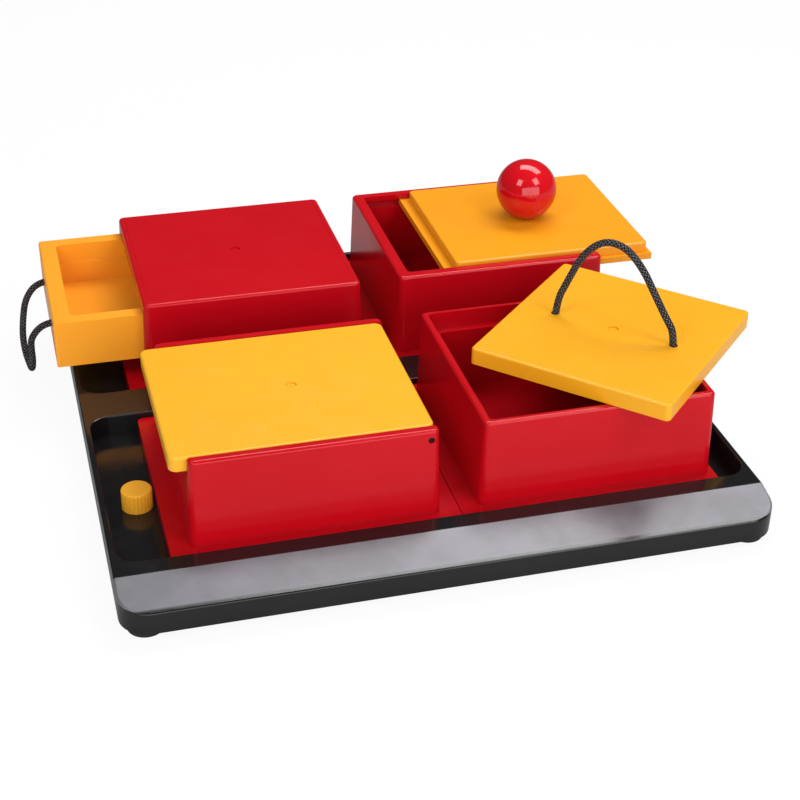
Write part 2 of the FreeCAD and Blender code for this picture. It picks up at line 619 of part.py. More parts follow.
def ball_knob():
    """Make the round knob with a flat under it and a hole for its screw."""
    ball = primitive("Sphere", "ball_round", Radius="ball_radius")
    place(ball, z="ball_radius - ball_flat")
    below = primitive("Cylinder", "ball_flat_cutter", Radius="ball_radius", Height="ball_radius")
    place(below, z="-ball_radius")
    flat = cut("ball_flattened", ball, below)
    hole = primitive("Cylinder", "ball_hole", Radius="knob_screw_radius",
                     Height="knob_screw_length - plate_thickness - tongue_thickness + ball_flat")
    knob = cut("ball_knob", flat, hole)
    return place(knob, "ball_x", "back_row_y", "plate_top_z")


def knob_screw():
    """Make the screw that holds the knob from under the lid."""
    head = primitive("Cylinder", "knob_screw_head", Radius="knob_head_radius", Height="knob_head_height")
    shank = primitive("Cylinder", "knob_screw_shank", Radius="knob_screw_radius", Height="knob_screw_length")
    screw = joined("ball_knob_screw", [head, shank])
    return place(screw, "ball_x", "back_row_y", "tongue_z")


def flap_lid():
    """Make the hinged flap with pin holes and a heel notch above the push rod."""
    label = "flap_lid"
    body = new_body(label)
    place(body, "hinge_x", "front_row_y", "flap_z")
    width = "flap_right_x - flap_left_x"
    outline = rectangle(body, label + "_outline", width, "flap_depth", "flap_corner",
                        x="(flap_right_x + flap_left_x) / 2 - hinge_x")
    pad(body, outline, "flap_thickness")
    soften(body, label + "_round", "flap_round", lambda e: level(e, size("flap_thickness")))
    notch = rectangle(body, label + "_notch", "flap_right_x - rod_x + rod_radius + heel_notch_gap + toe",
                      "heel_notch", x="(flap_right_x + rod_x - rod_radius - heel_notch_gap + toe) / 2 - hinge_x",
                      y="button_y - front_row_y")
    pocket(body, notch, "hinge_rise", other_way=True)
    for end, side in (("front", -1), ("back", 1)):
        hole = circle(body, "%s_pin_hole_%s" % (label, end), "pin_radius", role="XZ_Plane", y="hinge_rise",
                      z="%d * flap_depth / 2" % -side)
        pocket(body, hole, "pin_seat", other_way=side > 0)
    dimple = circle(body, label + "_dimple", "dimple_radius", x="left_column_x - hinge_x", z="flap_thickness")
    pocket(body, dimple, "dimple_depth")
    return body


def flap_pins():
    """Make the two short hinge pins, pressed into the flap."""
    pins = []
    for end, start in (("front", "-flap_depth / 2 + pin_seat"),
                       ("back", "flap_depth / 2 + flap_gap + pin_reach")):
        pin = primitive("Cylinder", "flap_pin_" + end, Radius="pin_radius",
                        Height="pin_seat + flap_gap + pin_reach")
        turn(pin, V(1, 0, 0), "90")
        place(pin, "hinge_x", "front_row_y + " + start, "hinge_z")
        pin.Label = "flap_pin_" + end
        pins.append(pin)
    return pins


def push_button():
    """Make the ribbed push button with its lip and the nub that bears on the lever."""
    label = "push_button"
    body = new_body(label)
    place(body, "button_x", "button_y", "button_z")
    nub = circle(body, label + "_nub", "button_nub_radius")
    pad(body, nub, "button_nub")
    lip = circle(body, label + "_lip", "button_radius + button_lip", z="button_nub")
    pad(body, lip, "button_flange")
    cap = circle(body, label + "_cap", "button_radius", z="button_nub + button_flange")
    pad(body, cap, "button_top_z - button_z - button_nub - button_flange")
    soften(body, label + "_round", "button_round", lambda e: level(e, size("button_top_z - button_z")))
    groove = circle(body, label + "_groove", "rib_radius", x="button_radius", z="button_top_z - button_z")
    first = pocket(body, groove, "button_top_z - floor_z")
    pattern = body.newObject("PartDesign::PolarPattern", label + "_ribs")
    pattern.Originals = [first]
    pattern.Axis = (next(f for f in body.Origin.OriginFeatures if f.Role == "Z_Axis"), [""])
    pattern.Angle = 360
    bind(pattern, Occurrences="rib_count")
    body.Tip = pattern
    doc.recompute()
    return body


def rocker_lever():
    """Make the lever under the floor, tilted with the button up."""
    arm = primitive("Box", "lever_bar", Length="2 * (lever_arm + lever_overrun)", Width="lever_width",
                    Height="lever_thickness")
    place(arm, "-lever_arm - lever_overrun", "-lever_width / 2", "-lever_thickness / 2")
    hub = primitive("Cylinder", "lever_hub", Radius="lever_hub_radius", Height="lever_width")
    turn(hub, V(1, 0, 0), "90")
    place(hub, y="lever_width / 2")
    hole = primitive("Cylinder", "lever_hole", Radius="axle_radius + axle_gap", Height="2 * lever_width")
    turn(hole, V(1, 0, 0), "90")
    place(hole, y="lever_width")
    lever = cut("rocker_lever", joined("lever_blank", [arm, hub]), hole)
    turn(lever, V(0, 1, 0), "asin(half_travel / lever_arm) / 1deg")
    return place(lever, "lever_x", "button_y", "lever_pivot_z")


def lever_axle():
    """Make the lever's pin, held in the tray's two lugs."""
    length = "lever_width + 2 * lug_gap + 2 * lug_thickness"
    axle = primitive("Cylinder", "lever_axle", Radius="axle_radius", Height=length)
    turn(axle, V(1, 0, 0), "90")
    axle.Label = "lever_axle"
    return place(axle, "lever_x", "button_y + (%s) / 2" % length, "lever_pivot_z")


def push_rod():
    """Make the rod with a round tip that lifts the flap's heel."""
    stem = primitive("Cylinder", "rod_stem", Radius="rod_radius", Height="hinge_z - cam_gap - rod_radius - rod_z")
    tip = primitive("Sphere", "rod_tip", Radius="rod_radius")
    place(tip, z="hinge_z - cam_gap - rod_radius - rod_z")
    return place(joined("push_rod", [stem, tip]), "rod_x", "button_y", "rod_z")


def lift_lid():
    """Make the lift-off lid: a plate with a skirt, two rope holes and a dimple, lying turned."""
    label = "lift_lid"
    body = new_body(label)
    turn(body, V(0, 0, 1), "lift_turn")
    place(body, "lift_x", "lift_y", "lift_z")
    outline = rectangle(body, label + "_outline", "lift_width", "lift_depth", "lift_corner")
    pad(body, outline, "lift_thickness")
    soften(body, label + "_round", "lift_round", lambda e: level(e, size("lift_thickness")))
    recess = rectangle(body, label + "_recess", "lift_width - 2 * lift_skirt", "lift_depth - 2 * lift_skirt",
                       "lift_corner / 2")
    pocket(body, recess, "lift_thickness - lift_plate", other_way=True)
    for side in (-1, 1):
        hole = circle(body, "%s_rope_hole_%s" % (label, "front" if side < 0 else "back"), "rope_hole_radius",
                      y="%d * lift_hole_spread" % side, z="lift_thickness")
        pocket(body, hole, "2 * lift_plate")
    dimple = circle(body, label + "_dimple", "dimple_radius", z="lift_thickness")
    pocket(body, dimple, "dimple_depth")
    return body


# The route of the loop on the drawer, from the back hole to the front one, as offsets from the
# point midway between the two holes on the panel's outer face.
DRAWER_ROUTE = [
    (0.0, 24.0, 0.0), (-4.0, 24.0, -0.3), (-11.0, 20.0, -7.0), (-13.6, 12.5, -14.3), (-15.2, 2.5, -20.8),
    (-14.8, -7.0, -25.8), (-13.6, -13.2, -28.9), (-12.8, -17.6, -30.2), (-12.2, -21.2, -27.6),
    (-11.6, -22.0, -22.0), (-11.8, -22.2, -16.0), (-11.2, -22.9, -8.2), (-4.0, -24.0, -0.2),
    (0.0, -24.0, 0.0),
]

# The route of the arch on the lift-off lid, from the back hole to the front one, as distances
# along the line of holes, across it and up from the lid's top.
LIFT_ROUTE = [
    (0.0, 31.7, 0.0), (0.2, 31.4, 7.0), (0.6, 26.8, 18.5), (1.2, 20.6, 34.0), (1.6, 10.8, 44.8),
    (1.8, -1.0, 45.0), (1.4, -11.2, 36.2), (0.9, -19.0, 24.2), (0.4, -26.4, 13.0), (0.1, -31.4, 6.4),
    (0.0, -31.7, 0.0),
]


def round_route(points, label):
    """Join straight runs with tangent arcs, each as large as its two runs allow."""
    edges = []
    start = points[0]
    radii = []
    for before, corner, after in zip(points, points[1:], points[2:]):
        back = (before - corner)
        ahead = (after - corner)
        run = min(back.Length, ahead.Length)
        reach = 0.45 * run
        first = corner + V(back).normalize() * reach
        last = corner + V(ahead).normalize() * reach
        half_turn = (math.pi - back.getAngle(ahead)) / 2
        radius = reach / math.tan(half_turn)
        inward = ((first + last) * 0.5 - corner).normalize()
        middle = corner + inward * (radius / math.cos(half_turn) - radius)
        edges.append(Part.LineSegment(start, first).toShape())
        edges.append(Part.Arc(first, middle, last).toShape())
        radii.append(radius)
        start = last
    edges.append(Part.LineSegment(start, points[-1]).toShape())
    print(label, "bend radii", " ".join("%.1f" % r for r in radii))
    return Part.Wire(edges)


def rope_tube(label, points):
    """Sweep the rope's section along its route and compare the volume with section times length."""
    path = round_route(points, label)
    radius = size("rope_radius")
    section = Part.Wire(Part.Circle(points[0], (points[1] - points[0]).normalize(), radius).toShape())
    shape = path.makePipeShell([section], True, False)
    expected = math.pi * radius ** 2 * path.Length
    print(label, "length %.1f, volume %.1f against %.1f" % (path.Length, shape.Volume, expected))
    if abs(shape.Volume - expected) > 0.01 * expected:
        raise RuntimeError("%s is not a clean tube" % label)
    feature = doc.addObject("Part::Feature", label)
    feature.Shape = shape
    feature.Label = label
    return feature


def drawer_rope():
    """Make the drawer's loop, which ends at the knots sunk into the panel's back."""
    sink_floor = V(size("drawer_panel - knot_sink"), 0, 0)
    centre = V(size("drawer_x"), size("back_row_y"), size("drawer_z + drawer_hole_height"))
    points = [V(*p) for p in DRAWER_ROUTE]
    route = [points[0] + sink_floor] + points[1:-1] + [points[-1] + sink_floor]
    rope = rope_tube("drawer_rope", route)
    rope.Placement = FreeCAD.Placement(centre, FreeCAD.Rotation())
    return rope


def lift_rope():
    """Make the lid's arch, which runs through the plate and ends at the knots under it."""
    through = V(0, 0, -size("lift_plate"))
    points = [V(*p) for p in LIFT_ROUTE]
    route = [points[0] + through] + points[1:-1] + [points[-1] + through]
    rope = rope_tube("lift_rope", route)
    centre = V(size("lift_x"), size("lift_y"), size("lift_z + lift_thickness"))
    rope.Placement = FreeCAD.Placement(centre, FreeCAD.Rotation(V(0, 0, 1), size("lift_turn")))
    return rope


def knots(label, axis, angle, spread):
    """Make two round knots, flat where they meet the wall that stops them."""
    pair = []
    for side in (-1, 1):
        name = "%s_%s" % (label, "front" if side < 0 else "back")
        ball = primitive("Sphere", name, Radius="knot_radius")
        ball.Angle1 = -45
        turn(ball, axis, angle)
        place(ball, y="%d * %s" % (side, spread))
        pair.append(ball)
    group = doc.addObject("Part::Compound", label)
    group.Links = pair
    group.Label = label
    return group


def drawer_knots():
    """Make the knots sunk into the back of the drawer's panel."""
    group = knots("drawer_rope_knots", V(0, 1, 0), "90", "drawer_hole_spread")
    return place(group, "drawer_x + drawer_panel - knot_sink + knot_radius * sin(45deg)", "back_row_y",
                 "drawer_z + drawer_hole_height")


def lift_knots():
    """Make the knots under the lid's plate."""
    group = knots("lift_rope_knots", V(1, 0, 0), "180", "lift_hole_spread")
    turn(group, V(0, 0, 1), "lift_turn")
    return place(group, "lift_x", "lift_y",
                 "lift_z + lift_thickness - lift_plate - knot_radius * sin(45deg)")


SUBPARTS = [tray(), drawer_box(), slide_box(), flap_box(), lift_box()]
SUBPARTS += feet()
SUBPARTS += [box_screws(label) for label in BOXES]
SUBPARTS += [drawer_tray(), drawer_rope(), drawer_knots(), slide_lid(), ball_knob(), knob_screw()]
SUBPARTS += [flap_lid()] + flap_pins()
SUBPARTS += [push_button(), rocker_lever(), lever_axle(), push_rod()]
SUBPARTS += [lift_lid(), lift_rope(), lift_knots()]

doc.recompute()
for thing in doc.Objects:
    if "Invalid" in thing.State or "Error" in thing.State:
        raise RuntimeError("%s failed" % thing.Label)
for piece in SUBPARTS:
    if piece.Shape.isNull() or not piece.Shape.isValid():
        raise RuntimeError("%s has no valid shape" % piece.Label)

os.makedirs("parts", exist_ok=True)
for piece in SUBPARTS:
    piece.Shape.exportStep(os.path.join("parts", piece.Label + ".step"))
    print(piece.Label, "solids", len(piece.Shape.Solids), "volume %.0f" % piece.Shape.Volume)
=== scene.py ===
"""Looks of a dog puzzle feeder: glossy moulded plastics, braided cords, soft studio light."""
from __future__ import annotations

import json
import logging
import math
from dataclasses import dataclass
from enum import Enum
from typing import Any

import bmesh
import bpy
from mathutils import Matrix, Vector

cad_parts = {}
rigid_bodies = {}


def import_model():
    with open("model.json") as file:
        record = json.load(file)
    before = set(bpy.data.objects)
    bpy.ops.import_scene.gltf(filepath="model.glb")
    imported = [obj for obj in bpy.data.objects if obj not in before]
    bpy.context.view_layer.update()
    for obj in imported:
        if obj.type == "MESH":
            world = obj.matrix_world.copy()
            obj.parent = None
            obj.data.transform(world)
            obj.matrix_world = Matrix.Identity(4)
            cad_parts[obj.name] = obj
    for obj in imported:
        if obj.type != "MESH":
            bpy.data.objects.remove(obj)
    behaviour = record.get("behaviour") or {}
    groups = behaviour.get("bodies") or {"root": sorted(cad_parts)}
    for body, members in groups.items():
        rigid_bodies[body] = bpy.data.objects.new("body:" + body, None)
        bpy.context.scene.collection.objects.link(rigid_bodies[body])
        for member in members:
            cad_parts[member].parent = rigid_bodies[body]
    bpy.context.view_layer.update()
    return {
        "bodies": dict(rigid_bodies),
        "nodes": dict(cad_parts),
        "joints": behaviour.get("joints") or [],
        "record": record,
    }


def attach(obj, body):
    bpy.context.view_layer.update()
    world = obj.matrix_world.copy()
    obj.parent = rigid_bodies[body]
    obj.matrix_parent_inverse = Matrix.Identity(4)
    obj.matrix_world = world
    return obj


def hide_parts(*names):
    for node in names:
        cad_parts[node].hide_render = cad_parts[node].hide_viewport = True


log = logging.getLogger("feeder")

MM = 0.001
WHITE = (1.0, 1.0, 1.0, 1.0)
WHOLE = (0.0, 1.0)

# The colour sockets of a Mix node: its factor, its two colours and its result.
MIX_FACTOR, MIX_FIRST, MIX_SECOND, MIX_RESULT = 0, 6, 7, 2

Colour = tuple[float, float, float]
Point = tuple[float, float, float]
Span = tuple[float, float]


def add_object(name: str, data: Any) -> bpy.types.Object:
    """Put a mesh, curve, lamp or camera into the scene.

    Args:
        name: The object's name.
        data: What the object shows.

    Returns:
        The object, at the origin.
    """
    piece = bpy.data.objects.new(name, data)
    bpy.context.scene.collection.objects.link(piece)
    return piece


def mesh_object(name: str, mesh: bmesh.types.BMesh) -> bpy.types.Object:
    """Put a finished shape into the scene.

    Args:
        name: The object's name.
        mesh: The shape, which is freed.

    Returns:
        The object, at the origin.
    """
    data = bpy.data.meshes.new(name)
    mesh.to_mesh(data)
    mesh.free()
    return add_object(name, data)


def axes_frame(first: Vector, second: Vector, third: Vector, place: Vector) -> Matrix:
    """Return a transform from its three axes and its place.

    Args:
        first: The direction of its X axis.
        second: The direction of its Y axis.
        third: The direction of its Z axis.
        place: Its origin.

    Returns:
        The transform.
    """
    rows = [list(row) for row in zip(first, second, third, place)]
    return Matrix(rows + [[0.0, 0.0, 0.0, 1.0]])


class Term:
    """One value in a shader expression."""

    def __init__(self, graph: "Graph", socket: bpy.types.NodeSocket) -> None:
        """Keep where the value comes from.

        Args:
            graph: The node tree that holds the value.
            socket: The node output that gives it.
        """
        self.graph = graph
        self.socket = socket

    def _math(self, operation: str, *values: Any) -> "Term":
        """Add a Math node.

        Args:
            operation: The Math node's operation.
            values: The terms or numbers that it works on, in order.

        Returns:
            The node's result.
        """
        inputs = dict(enumerate(values))
        return self.graph.add("ShaderNodeMath", {"operation": operation}, inputs)

    def __add__(self, other: Any) -> "Term":
        """Return the sum."""
        return self._math("ADD", self, other)

    def __radd__(self, other: Any) -> "Term":
        """Return the sum with a number on the left."""
        return self._math("ADD", other, self)

    def __sub__(self, other: Any) -> "Term":
        """Return the difference."""
        return self._math("SUBTRACT", self, other)

    def __rsub__(self, other: Any) -> "Term":
        """Return the difference with a number on the left."""
        return self._math("SUBTRACT", other, self)

    def __mul__(self, other: Any) -> "Term":
        """Return the product."""
        return self._math("MULTIPLY", self, other)

    def __rmul__(self, other: Any) -> "Term":
        """Return the product with a number on the left."""
        return self._math("MULTIPLY", other, self)

    def __gt__(self, other: Any) -> "Term":
        """Return 1 where the value is larger, and 0 elsewhere."""
        return self._math("GREATER_THAN", self, other)

    def sine(self) -> "Term":
        """Return the sine of the value in radians."""
        return self._math("SINE", self)

    def size(self) -> "Term":
        """Return the value without its sign."""
        return self._math("ABSOLUTE", self)

    def floor(self) -> "Term":
        """Return the whole number below the value."""
        return self._math("FLOOR", self)

    def wrap(self, step: float) -> "Term":
        """Return the rest after whole steps."""
        return self._math("MODULO", self, step)

    def ramp(self, low: float, high: float) -> "Term":
        """Return 0 below low, 1 above high, and a smooth step between."""
        return self.graph.rescale(self, (low, high), WHOLE, "SMOOTHSTEP")


class Graph:
    """The node tree of a material or of the world."""

    def __init__(self, owner: bpy.types.Material | bpy.types.World) -> None:
        """Turn on the owner's nodes.

        Args:
            owner: The material or the world.
        """
        owner.use_nodes = True
        self.nodes = owner.node_tree.nodes
        self.links = owner.node_tree.links

    def add(self, kind: str, settings: dict[str, Any] | None = None,
            inputs: dict[Any, Any] | None = None, out: int | str = 0) -> Term:
        """Add a node, set it up and feed its sockets.

        Args:
            kind: The node's type.
            settings: Properties that are set before the sockets.
            inputs: Values or terms by socket name or number.
            out: The output socket that is returned.

        Returns:
            The chosen output.
        """
        node = self.nodes.new(kind)
        for key, value in (settings or {}).items():
            setattr(node, key, value)
        for key, value in (inputs or {}).items():
            self.feed(node.inputs[key], value)
        return Term(self, node.outputs[out])

    def feed(self, socket: bpy.types.NodeSocket, value: Any) -> None:
        """Link a term to a socket, or set the socket's own value.

        Args:
            socket: The input socket.
            value: A term, number, colour or vector.
        """
        if isinstance(value, Term):
            self.links.new(value.socket, socket)
        else:
            socket.default_value = value

    def rescale(self, value: Term, ends: Span, results: tuple[Any, Any],
                steps: str = "LINEAR") -> Term:
        """Carry a value from one range over to another.

        Args:
            value: The value, held between the ends.
            ends: The two ends of its range.
            results: What it becomes at each end, numbers or terms.
            steps: How it runs between them.

        Returns:
            The new value.
        """
        inputs = dict(enumerate((value, *ends, *results)))
        return self.add("ShaderNodeMapRange", {"interpolation_type": steps}, inputs)


class Surface(Graph):
    """The node tree of a material with a Principled shader."""

    def __init__(self, name: str) -> None:
        """Start the material.

        Args:
            name: The material's name.
        """
        self.material = bpy.data.materials.new(name)
        super().__init__(self.material)
        self.shader = self.nodes["Principled BSDF"]

    def place(self) -> Term:
        """Return the position on the object."""
        return self.add("ShaderNodeTexCoord", out="Object")

    def part(self, vector: Term, axis: str) -> Term:
        """Return a vector's X, Y or Z."""
        return self.add("ShaderNodeSeparateXYZ", None, {"Vector": vector}, out=axis)

    def noise(self, scale: float, detail: float = 2.0, roughness: float = 0.5,
              place: Term | None = None) -> Term:
        """Return a cloudy value about 0.5.

        Args:
            scale: Features per metre.
            detail: Octaves.
            roughness: Strength of the finer octaves.
            place: Where it is read, by default the position on the object.

        Returns:
            The noise value.
        """
        inputs = {"Vector": place or self.place(), "Scale": scale, "Detail": detail,
                  "Roughness": roughness}
        return self.add("ShaderNodeTexNoise", None, inputs, out="Fac")

    def mix(self, factor: Term, first: Colour | Term, second: Colour | Term) -> Term:
        """Blend two colours.

        Args:
            factor: 0 for the first colour, 1 for the second.
            first: The first colour.
            second: The second colour.

        Returns:
            The blended colour.
        """
        colours = [one if isinstance(one, Term) else (*one, 1.0) for one in (first, second)]
        inputs = {MIX_FACTOR: factor, MIX_FIRST: colours[0], MIX_SECOND: colours[1]}
        return self.add("ShaderNodeMix", {"data_type": "RGBA"}, inputs, out=MIX_RESULT)

    def bump(self, height: Term, depth: float, strength: float = 1.0) -> None:
        """Raise the surface by a height value.

        Args:
            height: 0 to 1.
            depth: Height of 1, in metres.
            strength: Share of the effect.
        """
        inputs = {"Height": height, "Distance": depth, "Strength": strength}
        self.set(Normal=self.add("ShaderNodeBump", None, inputs))

    def set(self, **sockets: Any) -> None:
        """Feed the Principled shader's sockets, named with _ for a space."""
        for key, value in sockets.items():
            self.feed(self.shader.inputs[key.replace("_", " ")], value)


@dataclass(frozen=True)
class MouldedPlastic:
    """Glossy injection-moulded plastic with faint flow marks, grain and fine scuffs.

    A scale counts features per metre, and a span gives the two ends of a smooth step.
    """

    name: str
    colour: Colour
    shade: Colour
    roughness: float = 0.2
    grain_depth: float = 0.02 * MM
    scuffs: float = 0.05
    gloss: float = 0.5
    flow_scale: float = 14.0
    flow_span: Span = (0.3, 0.75)
    flow_share: float = 0.6
    cloud_scale: float = 90.0
    cloud_span: Span = (0.35, 0.7)
    cloud_haze: float = 0.05
    cloud_height: float = 1.4
    grain_scale: float = 1500.0
    grain_height: float = 0.6
    relief: float = 0.6
    scuff_scale: float = 38.0
    scuff_span: Span = (0.4, 0.75)
    scuff_turn: Point = (0.2, 0.1, 0.6)
    scuff_stretch: Point = (1.0, 1.8, 1.2)

    def build(self) -> bpy.types.Material:
        """Return the plastic as a material."""
        graph = Surface(self.name)
        flow = graph.noise(self.flow_scale, detail=3.0)
        cloud = graph.noise(self.cloud_scale)
        grain = graph.noise(self.grain_scale, detail=1.0)
        marks = flow.ramp(*self.flow_span) * self.flow_share
        haze = cloud.ramp(*self.cloud_span) * self.cloud_haze
        roughness = self.roughness + haze + self._scuffed(graph) * self.scuffs
        self.finish(graph, graph.mix(marks, self.colour, self.shade), roughness)
        graph.set(Specular_IOR_Level=self.gloss)
        height = grain * self.grain_height + cloud * self.cloud_height
        graph.bump(height, self.grain_depth, self.relief)
        return graph.material

    def finish(self, graph: Surface, colour: Term, roughness: Term) -> None:
        """Feed colour and roughness to the shader.

        Args:
            graph: The material's graph.
            colour: The plastic's colour.
            roughness: The plastic's roughness.
        """
        graph.set(Base_Color=colour, Roughness=roughness)

    def _scuffed(self, graph: Surface) -> Term:
        """Return soft handling marks, drawn out to one side.

        Args:
            graph: The material's graph.

        Returns:
            The marks, 0 to 1.
        """
        inputs = {"Vector": graph.place(), "Rotation": self.scuff_turn,
                  "Scale": self.scuff_stretch}
        stretched = graph.add("ShaderNodeMapping", None, inputs)
        marks = graph.noise(self.scuff_scale, detail=5.0, roughness=0.6, place=stretched)
        return marks.ramp(*self.scuff_span)


@dataclass(frozen=True)
class TrayPlastic(MouldedPlastic):
    """Glossy black plastic whose sloped front band is satin, with a mottled painted grey reflection
    in its colour.

    The band is what lies ahead of band_y and above band_z.
    """

    band_y: float = -132.5 * MM
    band_z: float = 15.3 * MM
    band_edge: float = 0.4 * MM
    band_roughness: float = 0.3
    band_painted_sheen: Colour = (0.165, 0.163, 0.185)
    band_painted_sheen_dim: Colour = (0.11, 0.109, 0.122)
    mottle_scale: float = 26.0
    mottle_span: Span = (0.32, 0.68)

    def finish(self, graph: Surface, colour: Term, roughness: Term) -> None:
        """Feed colour and roughness to the shader, with the band's satin roughness and painted grey
        reflection on the slope.

        Args:
            graph: The material's graph.
            colour: The plastic's colour.
            roughness: The plastic's roughness.
        """
        place = graph.place()
        ahead = (self.band_y - graph.part(place, "Y")).ramp(0.0, self.band_edge)
        above = (graph.part(place, "Z") - self.band_z).ramp(0.0, self.band_edge)
        band = ahead * above
        mottle = graph.noise(self.mottle_scale, detail=4.0, roughness=0.6)
        # Painted reflection: the band's grey, mottled colour stands in for the light that the slope
        # mirrors; only its satin roughness is the plastic's own.
        painted_sheen = graph.mix(mottle.ramp(*self.mottle_span), self.band_painted_sheen_dim, self.band_painted_sheen)
        satin = band * (self.band_roughness - roughness) + roughness
        graph.set(Base_Color=graph.mix(band, colour, painted_sheen), Roughness=satin)


@dataclass(frozen=True)
class FootRubber:
    """Dull black rubber with a fine pitted grain and a little dust."""

    name: str = "foot rubber"
    colour: Colour = (0.016, 0.016, 0.017)
    dust_colour: Colour = (0.05, 0.05, 0.05)
    dust_scale: float = 60.0
    dust_span: Span = (0.5, 0.8)
    dust_share: float = 0.3
    grain_scale: float = 900.0
    grain_depth: float = 0.08 * MM
    roughness: float = 0.62
    grain_roughness: float = 0.2

    def build(self) -> bpy.types.Material:
        """Return the rubber as a material."""
        graph = Surface(self.name)
        grain = graph.noise(self.grain_scale)
        dust = graph.noise(self.dust_scale, detail=3.0).ramp(*self.dust_span)
        graph.set(Base_Color=graph.mix(dust * self.dust_share, self.colour, self.dust_colour))
        graph.set(Roughness=self.roughness + grain * self.grain_roughness)
        graph.bump(grain, self.grain_depth)
        return graph.material


@dataclass(frozen=True)
class ScrewSteel:
    """Zinc-plated steel with a turned grain."""

    name: str = "screw steel"
    colour: Colour = (0.58, 0.58, 0.6)
    shade: Colour = (0.4, 0.4, 0.43)
    grain_scale: float = 1200.0
    grain_share: float = 0.3
    grain_depth: float = 0.02 * MM
    roughness: float = 0.28
    grain_roughness: float = 0.15

    def build(self) -> bpy.types.Material:
        """Return the steel as a material."""
        graph = Surface(self.name)
        brushed = graph.noise(self.grain_scale, detail=3.0)
        colour = graph.mix(brushed * self.grain_share, self.colour, self.shade)
        graph.set(Base_Color=colour, Metallic=1.0)
        graph.set(Roughness=self.roughness + brushed * self.grain_roughness)
        graph.bump(brushed, self.grain_depth)
        return graph.material


@dataclass(frozen=True)
class BraidedCord:
    """Black round braid of glossy yarns with a painted highlight along each yarn's crown, its lay
    read from the cord's own UV map.
    """

    name: str = "braided cord"
    yarns: int = 6
    pitch: float = 13.0 * MM
    colour: Colour = (0.006, 0.006, 0.007)
    highlight_colour: Colour = (0.17, 0.165, 0.19)
    highlight_span: Span = (0.86, 1.0)
    crossing: float = 0.25
    fibre_scale: float = 2600.0
    fibre_height: float = 0.15
    yarn_height: float = 0.85
    depth: float = 0.9 * MM
    highlight_patch_scale: float = 420.0
    highlight_patch_span: Span = (0.2, 0.6)
    highlight_patch_share: float = 0.6
    roughness: float = 0.7
    polish: float = 0.2
    gloss: float = 0.35

    def build(self) -> bpy.types.Material:
        """Return the braid as a material: U runs round the cord once, V along it in metres."""
        graph = Surface(self.name)
        lay = graph.add("ShaderNodeUVMap", {"uv_map": "lay"})
        turn = graph.part(lay, "X") * float(self.yarns)
        along = graph.part(lay, "Y") * (self.yarns / self.pitch)
        left = ((turn + along) * math.pi).sine().size()
        right = ((turn - along) * math.pi).sine().size()
        cells = (turn + along).floor() + (turn - along).floor()
        over = (cells * 0.5).wrap(1.0).size() > self.crossing
        yarn = left * over + right * (1.0 - over)
        fibre = graph.noise(self.fibre_scale)
        patches = graph.noise(self.highlight_patch_scale, detail=1.0).ramp(*self.highlight_patch_span)
        # Painted highlight: a lighter colour along each yarn's crown, stronger in random patches.
        painted_highlight = yarn.ramp(*self.highlight_span) * (patches * self.highlight_patch_share + (1.0 - self.highlight_patch_share))
        graph.set(Base_Color=graph.mix(painted_highlight, self.colour, self.highlight_colour))
        graph.set(Roughness=self.roughness - yarn * self.polish, Specular_IOR_Level=self.gloss)
        graph.bump(yarn * self.yarn_height + fibre * self.fibre_height, self.depth)
        return graph.material


class Finish(Enum):
    """The finishes of the feeder."""

    RED = MouldedPlastic(
        "red plastic", (0.50, 0.003, 0.009), (0.45, 0.002, 0.007), roughness=0.15, gloss=0.3)
    BALL = MouldedPlastic(
        "red knob", (0.56, 0.004, 0.010), (0.50, 0.003, 0.008), roughness=0.06,
        grain_depth=0.003 * MM, scuffs=0.02)
    BLACK = TrayPlastic(
        "black plastic", (0.008, 0.008, 0.009), (0.012, 0.012, 0.0135), roughness=0.1, scuffs=0.07)
    YELLOW = MouldedPlastic(
        "yellow plastic", (0.83, 0.41, 0.020), (0.80, 0.38, 0.017), gloss=0.35)
    LIFT = MouldedPlastic(
        "deep yellow plastic", (0.82, 0.375, 0.014), (0.78, 0.34, 0.011), gloss=0.35)
    DRAWER = MouldedPlastic(
        "drawer plastic", (0.92, 0.36, 0.024), (0.88, 0.32, 0.018), roughness=0.18, gloss=0.35)
    BUTTON = MouldedPlastic(
        "button plastic", (0.97, 0.48, 0.034), (0.95, 0.45, 0.03), gloss=0.35)
    AMBER = MouldedPlastic(
        "amber plastic", (0.83, 0.325, 0.012), (0.78, 0.285, 0.010), roughness=0.18, gloss=0.35)
    RUBBER = FootRubber()
    STEEL = ScrewSteel()
    PIN = ScrewSteel("dark pin steel", (0.05, 0.03, 0.03), (0.03, 0.02, 0.02))
    CORD = BraidedCord()


class Dresser:
    """Builds each finish once and puts it on pieces."""

    def __init__(self, nodes: dict[str, bpy.types.Object]) -> None:
        """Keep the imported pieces.

        Args:
            nodes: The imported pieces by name.
        """
        self.nodes = nodes
        self.made: dict[Finish, bpy.types.Material] = {}

    def material(self, finish: Finish) -> bpy.types.Material:
        """Return a finish's material, built at its first use.

        Args:
            finish: The finish.

        Returns:
            The material.
        """
        if finish not in self.made:
            self.made[finish] = finish.value.build()
        return self.made[finish]

    def dress(self, finish: Finish, *names: str) -> None:
        """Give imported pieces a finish.

        Args:
            finish: The finish.
            names: The pieces' names.
        """
        for name in names:
            for slot in self.nodes[name].material_slots:
                slot.material = self.material(finish)
            log.info("%s wears %s", name, finish.value.name)


